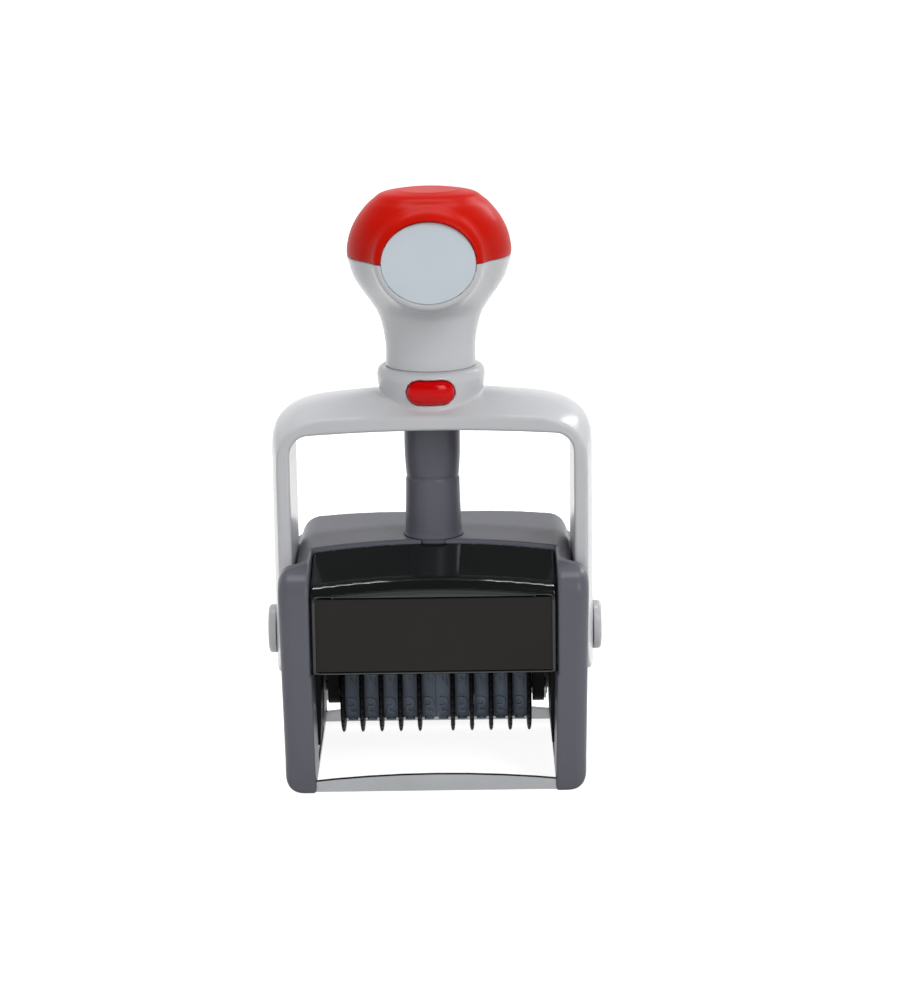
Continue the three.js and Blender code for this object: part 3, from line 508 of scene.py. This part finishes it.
def housing_field(x, y, z):
    x = np.abs(x)
    front = -y
    depth = np.abs(y)
    crown = z - housing_top + housing_drop * (x / housing_drop_width) ** 2
    top = np.maximum(outline(y, z, side_outline), crown)

    # The outer edges are sharper at the foot than higher up
    edge = 0.7 + 2.5 * ramp(z, 0, 8)
    block = meet(top, outline(x, z, wall_outline), edge)
    inner = housing_inner + pillar_draft * ramp(z, 0, 50.5)
    cavity = all_of(x - inner, y - cavity_half_depth, z - ceiling_z)
    window = all_of(x - window_half_width, window_back - front, cover_foot - z)
    shape = carve(block, np.minimum(cavity, window), 0.7)

    # The channels for the arms have rounder edges at the shoulders
    edge = 1.0 + 3.5 * ramp(z, 46, 52)
    channel = rounded_box(channel_side - x, depth - channel_half_depth, channel_foot - z, radius=1.0)
    shoulder = rounded_box(channel_side - x, front - channel_half_depth, shoulder_foot - z, radius=1.0)
    shape = carve(shape, np.minimum(channel, shoulder), edge)

    back_opening = all_of(x - housing_inner, front, z - back_opening_top)
    drawer = all_of(x - window_half_width, front, drawer_foot - z, z - drawer_top)
    shape = carve(shape, np.minimum(back_opening, drawer), 0.5)

    past_rail = all_of(x - rail_slot_half_width, depth - rail_slot_half_depth)
    hollows = (
        all_of(x - plate_slot_half_width, depth - plate_slot_half_depth, z - drawer_top),
        all_of(past_rail, z - rail_slot_height),
        all_of(past_rail, bar_slot_back - depth, z - bar_slot_height),
        all_of(np.hypot(x, y) - column_hole_radius, column_hole_foot - z),
        np.hypot(y, z - np.clip(z, pin_slot_foot, pivot_z)) - pin_slot_radius,
    )
    for hollow in hollows:
        shape = carve(shape, hollow, 0.1)
    return shape


carved("housing_shell", housing_field, (-39.5, -33.3, -0.5), (39.5, 33.3, 60.5), 0.55,
       "frame", ["housing"], slate_plastic)


# Window cover: an arched lid that turns down at the front
cover_outline = [(-30, cover_foot), (-28.4, cover_foot), (-28.4, 50.4)]
cover_outline += quadratic((-28.4, 50.4), (-28.4, 52.8), (-26, 53.28))
cover_outline += [(-7.4, 57.3), (-7.4, 58.9)]
cover_outline += quadratic((-26, 55.2), (-30, 54.4), (-30, 50.4))


def cover_field(x, y, z):
    share = x / cover_half_width
    arch = ramp(z, 46.4, 50.4)
    bend = arch * arch * (3 - 2 * arch)
    shell = outline(y, z + cover_crown * bend * share * share, cover_outline)
    side = np.abs(x)
    seat = all_of(side - card_seat_half_width, y + card_seat_back, card_seat_foot - z, z - card_seat_top)
    return carve(rounded_box(shell, side - cover_half_width, radius=0.45), seat, 0.1)


carved("window_lid", cover_field, (-31.2, -30.2, 30.2), (31.2, -7.2, 59.2), 0.4,
       "frame", ["window_cover"], smoked)


# Guide column, bored for the spring
column_profile = [
    (5.2, 54.9), (5.2, 97), (6.8, 97), (7.2, 96.6), (7.2, 84), (7.15, 81), (7, 78.5), (6.85, 76.6),
    (6.8, 75.8), (6.7, 75.6), (6.7, 75.2), (6.85, 75), (6.95, 74.6), (7, 72), (7.1, 68), (7.2, 64),
    (7.3, 61.4), (7.4, 60.6), (7.55, 60.15), (7.6, 59.95), (7.2, 59.95), (7.2, 52.7), (4.9, 52.7),
    (4.9, 54.9),
]
built("column", *skin(turned_loops(column_profile, 96), ring=True),
      "frame", "slate_plastic", ["guide_column"], slate_plastic)


# Yoke: an arch with two arms, crowned, and the oval collar that the knob stands on
yoke_outer = [(inward, 20), (arm_outer, 20), (arm_outer, 82)]
yoke_outer += curve([
    (arm_outer, 82), (41.25, 85), (40.9, 88), (39.6, 91), (37.2, 93.5), (33.8, 95.3), (29, 96.5), (22, 97.4),
    (12, 98.2), (0, arch_top),
], 60)
yoke_outer += [(inward, arch_top)]
yoke_inner = [(inward, -60), (arm_inner, -60), (arm_inner, 84)]
yoke_inner += quarter((31, 84.2), 5, 5.2, 0, math.pi / 2)
yoke_inner += quadratic((31, 89.4), (15.5, arch_under), (0, arch_under))
yoke_inner += [(inward, arch_under)]
collar_profile = [(-5, 90), (12.9, 90)]
collar_profile += curve([(12.9, 90), (13.05, 94), (13.3, 97.5), (13.65, 100), (13.9, 102)], 20)
collar_profile += quadratic((13.9, 102), (13.9, collar_top), (12.2, collar_top))
collar_profile += [(-5, collar_top)]


def yoke_field(x, y, z):
    side = np.abs(x)
    share = np.minimum(np.abs(y) / arm_half_depth, 1.05) ** 2
    fall = arch_edge_fall + (shoulder_edge_fall - arch_edge_fall) * ramp(side, 0, shoulder_x) ** 2
    outer = outline(side + arm_crown * share, z + fall * share, yoke_outer)
    inner = outline(side, z, yoke_inner)
    ends = rounded_box(np.abs(y) - arm_half_depth, arm_foot - z, radius=arm_foot_radius)
    arch = meet(carve(outer, inner, 0.8), ends, 0.8)
    collar = outline(np.hypot(x, y / collar_depth_share), z, collar_profile)
    shape = fuse(arch, collar, 0.7)

    pocket = np.maximum(obround(x, z - button_z, pocket_width, pocket_height), y + pocket_floor)
    bore = np.hypot(x, y) - column_hole_radius
    from_pivot = np.hypot(y, z - pivot_z)
    seat = np.maximum(from_pivot - cap_seat_radius, cap_seat_x - side)
    shape = carve(shape, pocket, 0.25)
    for hole in (bore, np.minimum(from_pivot - pin_hole_radius, seat)):
        shape = carve(shape, hole, 0.2)
    return shape


carved("yoke", yoke_field, (-41.6, -17.8, 25.5), (41.6, 17.8, 104.9), 0.55,
       "handle", ["handle_yoke"], grey_plastic)


# Lock button, domed in front
def button_field(x, y, z):
    pill = obround(x, z - button_z, button_width, button_height)
    dome = 0.045 * x**2 + 0.14 * (z - button_z) ** 2
    return rounded_box(meet(pill, dome - button_front - y, 1.2), y + button_back, radius=0.2)


carved("button", button_field, (-6.3, -17.2, 96.6), (6.3, -12.0, 103.6), 0.2,
       "lock", ["lock_button"], red_gloss)


# Knob: one form with an oval ring for the badge, parted into a grey shell and a red cap
knob_shares = [
    (0.552, 0), (0.548, 0.1), (0.562, 0.171), (0.59, 0.239), (0.638, 0.309), (0.728, 0.377),
    (0.833, 0.445), (0.918, 0.511), (0.969, 0.579), (1, 0.647), (0.985, 0.715), (0.943, 0.781),
    (0.866, 0.849), (0.749, 0.917), (0.668, 0.95), (0.566, 0.982), (0.36, 1),
]
knob_line = [(knob_radius * r, collar_top + knob_height * h) for r, h in knob_shares]
knob_outline = [(-5, collar_top), *curve(knob_line, 70), (-5, collar_top + knob_height)]


def badge_axes(x, y, z):
    """Across, up and out of the badge's leaning plane."""
    back, rise = y - badge_y, z - badge_z
    up = rise * math.cos(badge_lean) + back * math.sin(badge_lean)
    out = rise * math.sin(badge_lean) - back * math.cos(badge_lean)
    return x, up, out


def knob_field(x, y, z):
    form = outline(np.hypot(x, y), z, knob_outline)
    across, up, out = badge_axes(x, y, z)
    ring = meet(oval(across, up, ring_half_width, ring_half_height), out, 1.4)
    form = fuse(form, np.maximum(ring, -ring_depth - out), 3.0)
    recess = oval(across, up, badge_half_width + parting_gap, badge_half_height + parting_gap)
    return carve(form, np.maximum(recess, -badge_depth - out), 0.12)


def shell_field(x, y, z):
    bore = np.maximum(np.hypot(x, y) - column_hole_radius, z - knob_bore_top)
    socket = np.maximum(np.hypot(x, y) - socket_radius, z - socket_top)
    body = meet(knob_field(x, y, z), z - (split_z - parting_gap), 0.15)
    return carve(body, np.minimum(bore, socket), 0.1)


def cap_field(x, y, z):
    return meet(knob_field(x, y, z), split_z + parting_gap - z, 0.15)


carved("knob_lower", shell_field, (-21.5, -22.2, 104), (21.5, 21.5, 133.3), 0.42,
       "handle", ["knob_shell"], grey_plastic)
carved("knob_upper", cap_field, (-21.5, -22.2, 132.7), (21.5, 21.5, 150.3), 0.42,
       "handle", ["knob_cap"], red_plastic)

badge_place = Matrix.Translation((0, badge_y, badge_z)) @ Matrix.Rotation(math.pi / 2 - badge_lean, 4, "X")
badge_profile = [
    (0.01, -0.8), (11.8, -0.8), (badge_half_width, -0.7), (badge_half_width, -0.15), (11.8, -0.03),
    (11.6, 0), (6, 0), (0.01, 0),
]
badge_loops = turned_loops(badge_profile, 96, badge_place, squash=badge_half_height / badge_half_width)
built("badge", *skin(badge_loops), "handle", "badge", ["knob_badge"], badge_grey)


# Caps over the pivot pins
cap_profile = [
    (0.01, cap_seat_x), (4.2, cap_seat_x), (4.2, 41.3), (6.2, 41.3), (6.4, 41.5), (6.4, 42.4),
    (6.28, 42.85), (6.0, 43.2), (5.5, 43.38), (4.6, 43.4), (0.01, 43.4),
]
for side, name in ((1, "right"), (-1, "left")):
    place = Matrix.Translation((0, 0, pivot_z)) @ Matrix.Rotation(side * math.pi / 2, 4, "Y")
    built(f"cap_{name}", *skin(turned_loops(cap_profile, 72, place)), "handle", "grey_plastic",
          [f"pivot_cap_{name}"], grey_plastic)


# Thumb wheels: a hub and a disc with a notched rim
def notches(angle, radius):
    return -notch_depth * max(0.0, math.cos(notch_count * angle)) ** 2 if radius > 10 else 0.0


def wheel_profile(start):
    foot = start - hub_lap
    end = start + wheel_width
    disc = end - disc_thickness
    return [
        (axle_bore, foot), (5.6, foot), (hub_radius, start + 0.3), (hub_radius, disc), (9.6, disc),
        (10.3, disc + 0.1), (10.8, disc + 0.25), (disc_radius, disc + 0.5), (disc_radius, end - 0.5),
        (10.8, end - 0.25), (10.3, end - 0.1), (9.6, end), (axle_bore, end),
    ]


# Number bands: a rubber belt with raised figures
def belt_line():
    """The belt's outer face: points in Y and Z with their outward directions, and how far round each is."""
    hub, corner, corner_y, corner_z = 7.4, 2.0, 2.1, 45.0
    rise = corner_z - axle_z
    lean = math.atan2(rise, corner_y) - math.acos((hub - corner) / math.hypot(corner_y, rise))
    arcs = [
        (0, axle_z, hub, math.pi - lean, 2 * math.pi + lean),
        (corner_y, corner_z, corner, lean, math.pi / 2),
        (-corner_y, corner_z, corner, math.pi / 2, math.pi - lean),
    ]
    line = []
    for y, z, radius, start, end in arcs:
        for angle in np.linspace(start, end, 60):
            out_y, out_z = math.cos(angle), math.sin(angle)
            line.append((y + radius * out_y, z + radius * out_z, out_y, out_z))
    line = np.array(line + line[:1])
    steps = np.hypot(*np.diff(line[:, :2], axis=0).T)
    return line, np.concatenate([[0], np.cumsum(steps)])


belt, belt_at = belt_line()
belt_length = belt_at[-1]
crest = int(np.argmax(belt[:-1, 1] - np.abs(belt[:-1, 0]) * 0.01))


def on_belt(distance, height):
    """The place at a distance round the belt and a height above it."""
    y, z, out_y, out_z = (np.interp(distance % belt_length, belt_at, column) for column in belt.T)
    size = math.hypot(out_y, out_z)
    return y + height * out_y / size, z + height * out_z / size


def figure(text):
    """Vertices and faces of one raised figure, centred."""
    letters = bpy.data.curves.new("figure", "FONT")
    letters.body = text
    letters.extrude = 0.5
    letters.resolution_u = 3
    holder = bpy.data.objects.new("figure", letters)
    bpy.context.collection.objects.link(holder)
    mesh = bpy.data.meshes.new_from_object(holder.evaluated_get(bpy.context.evaluated_depsgraph_get()))
    points = np.array([v.co for v in mesh.vertices])
    low, high = points.min(0), points.max(0)
    points = (points - (low + high) / 2) / (high - low)
    faces = [tuple(p.vertices) for p in mesh.polygons]
    bpy.data.objects.remove(holder)
    bpy.data.meshes.remove(mesh)
    bpy.data.curves.remove(letters)
    width = narrow_figure_width if text == "1" else figure_width
    return points * (width, figure_height, 1), faces


figures = [figure(str(i)) for i in range(10)]


def band(start, end):
    section = [
        (start, -band_edge), (start + band_edge, 0), (end - band_edge, 0), (end, -band_edge),
        (end, -band_thickness), (start, -band_thickness),
    ]
    stations = np.linspace(0, belt_length, int(belt_length / belt_step), endpoint=False)
    loops = [[(x, *on_belt(station, height)) for x, height in section] for station in stations]
    vertices, faces = skin(loops, ring=True)
    for i, (points, sides) in enumerate(figures):
        first = len(vertices)
        middle = belt_at[crest] + i * belt_length / places_round_belt
        for across, along, out in points:
            height = figure_lift + figure_depth * out
            vertices.append(((start + end) / 2 + across, *on_belt(middle + along, height)))
        faces += [tuple(first + corner for corner in face) for face in sides]
    return vertices, faces


def flipped(vertices, faces):
    return [(-x, y, z) for x, y, z in vertices], [tuple(reversed(face)) for face in faces]


axle_turn = Matrix.Translation((0, 0, axle_z)) @ Matrix.Rotation(math.pi / 2, 4, "Y")
for rank in range(band_pairs):
    start = rank * band_pitch + wheel_gap
    near, far = max(start - band_lap, middle_gap), start + band_reach
    wheel = skin(turned_loops(wheel_profile(start), 240, axle_turn, rim=notches), ring=True)
    right = (band_pairs + 1 + rank, wheel, band(near, far))
    left = (band_pairs - rank, flipped(*wheel), band(-far, -near))
    for number, turned, strip in (right, left):
        tag = f"{number:02d}"
        built(f"wheel_{tag}", *turned, f"wheel_{tag}", "black_plastic", [f"thumb_wheel_{tag}"], black)
        built(f"band_{tag}", *strip, "head", "band_rubber", [f"number_band_{tag}"], rubber, smooth=50)


# CAD nodes that keep their shape get a fine bevel on a copy, and their material
def edged(name, width, body, material, smooth=35):
    source = nodes[name]
    mesh = source.data.copy()
    mesh.materials.clear()
    work = bmesh.new()
    work.from_mesh(mesh)
    bmesh.ops.remove_doubles(work, verts=work.verts, dist=1e-6)
    bmesh.ops.dissolve_limit(work, angle_limit=math.radians(1), verts=work.verts, edges=work.edges)
    work.to_mesh(mesh)
    work.free()
    piece = link(f"{name}_edged", mesh, body, [name], material)
    mesh.shade_smooth()
    mesh.set_sharp_from_angle(angle=math.radians(smooth))
    bevel = piece.modifiers.new("bevel", "BEVEL")
    bevel.width = width * MM
    bevel.segments = 2
    bevel.limit_method = "ANGLE"
    bevel.angle_limit = math.radians(smooth)
    bevel.harden_normals = True


edged("base_frame", 0.2, "frame", steel)
edged("index_card", 0.08, "frame", card_dark)
edged("column_nut", 0.2, "frame", steel)
for side in ("right", "left"):
    edged(f"side_plate_{side}", 0.15, "frame", steel)
    edged(f"side_liner_{side}", 0.15, "frame", black)
    edged(f"head_side_{side}", 0.25, "head", black)
    edged(f"bridge_screw_{side}", 0.08, "head", steel)
    edged(f"axle_clip_{side}", 0.08, "head", steel)
    edged(f"pivot_pin_{side}", 0.2, "handle", steel)
edged("type_frame", 0.2, "head", steel)
edged("type_bridge", 0.15, "head", steel)
edged("wheel_axle", 0.15, "head", steel)
edged("knob_pin", 0.1, "handle", steel)
edged("pad_drawer", 0.25, "drawer", black)
edged("ink_pad", 0.3, "drawer", felt)


# Return spring: the same coil, on its own copy of the mesh, shaded smooth
coil_mesh = nodes["return_spring"].data.copy()
coil_mesh.materials.clear()
coil = link("coil", coil_mesh, "frame", ["return_spring"], steel)
coil_mesh.shade_smooth()
coil_mesh.set_sharp_from_angle(angle=math.radians(60))
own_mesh(coil)


# Floor and world: white to the camera and in reflections, and darker to the light that bounces
def seen_or_mirrored(tree):
    """1 for rays from the camera, from a mirror or through glass, else 0."""
    rays = tree.nodes.new("ShaderNodeLightPath")
    total = rays.outputs["Is Camera Ray"]
    for kind in ("Is Glossy Ray", "Is Transmission Ray"):
        either = tree.nodes.new("ShaderNodeMath")
        either.operation = "MAXIMUM"
        tree.links.new(total, either.inputs[0])
        tree.links.new(rays.outputs[kind], either.inputs[1])
        total = either.outputs["Value"]
    return total


def ground():
    made = bpy.data.materials.new("floor")
    made.use_nodes = True
    tree = made.node_tree
    shader = tree.nodes["Principled BSDF"]
    shader.inputs["Roughness"].default_value = 0.6
    shader.inputs["Specular IOR Level"].default_value = 0.1
    shader.inputs["Emission Color"].default_value = (1, 1, 1, 1)
    where = tree.nodes.new("ShaderNodeTexCoord").outputs["Object"]
    patches = noise(tree, where, 0.025, 2)
    tree.links.new(mixed_tones(tree, [0.42] * 3, [0.43] * 3, patches), shader.inputs["Base Color"])
    glow = mapped(tree, seen_or_mirrored(tree), high_to=0.9)
    tree.links.new(glow, shader.inputs["Emission Strength"])
    return made


floor_reach = 8.0
floor_corners = [(x * floor_reach, y * floor_reach, 0) for x, y in ((-1, -1), (1, -1), (1, 1), (-1, 1))]
floor_mesh = bpy.data.meshes.new("floor")
floor_mesh.from_pydata(floor_corners, [], [(0, 1, 2, 3)])
floor_mesh.materials.append(ground())
floor = bpy.data.objects.new("floor", floor_mesh)
bpy.context.collection.objects.link(floor)

world = bpy.data.worlds.new("studio")
bpy.context.scene.world = world
world.use_nodes = True
tree = world.node_tree
sky = tree.nodes["Background"]
sky.inputs["Color"].default_value = (1, 1, 1, 1)
direction = tree.nodes.new("ShaderNodeTexCoord")
parts = tree.nodes.new("ShaderNodeSeparateXYZ")
tree.links.new(direction.outputs["Generated"], parts.inputs["Vector"])
ceiling = mapped(tree, parts.outputs["Z"], 0.25, 0.5, 1.0, 0.06)
level = tree.nodes.new("ShaderNodeMix")
level.inputs["A"].default_value = 0.3
tree.links.new(seen_or_mirrored(tree), level.inputs["Factor"])
tree.links.new(ceiling, level.inputs["B"])
tree.links.new(level.outputs["Result"], sky.inputs["Strength"])


# Lights: soft panels, of which the plain fills leave no highlight
def lamp(name, place, aim, size, power, mirrored=True):
    data = bpy.data.lights.new(name, "AREA")
    data.shape = "RECTANGLE"
    data.size, data.size_y = size
    data.energy = power
    panel = bpy.data.objects.new(name, data)
    panel.location = place
    panel.visible_glossy = mirrored
    panel.rotation_euler = (Vector(aim) - Vector(place)).to_track_quat("-Z", "Y").to_euler()
    bpy.context.collection.objects.link(panel)


lamp("key", (0.4, -0.65, 0.7), (0, 0, 0.07), (0.25, 0.5), 3.6)
lamp("fill", (-0.25, -0.95, 0.3), (0, 0, 0.07), (0.6, 0.6), 2.5, mirrored=False)
lamp("right", (0.8, 0.0, 0.15), (0, 0, 0.02), (0.5, 0.3), 1.2, mirrored=False)
lamp("left", (-0.8, 0.0, 0.15), (0, 0, 0.02), (0.5, 0.3), 0.5, mirrored=False)
lamp("top", (0, 0.2, 0.9), (0, 0, 0.07), (0.7, 0.12), 4.0)
lamp("back_right", (0.5, 0.65, 0.6), (0, 0, 0.07), (0.1, 0.4), 1.8)
lamp("back_left", (-0.3, 0.8, 0.6), (0, 0, 0.06), (0.8, 0.3), 3.4, mirrored=False)

bpy.context.scene.view_settings.view_transform = "Standard"
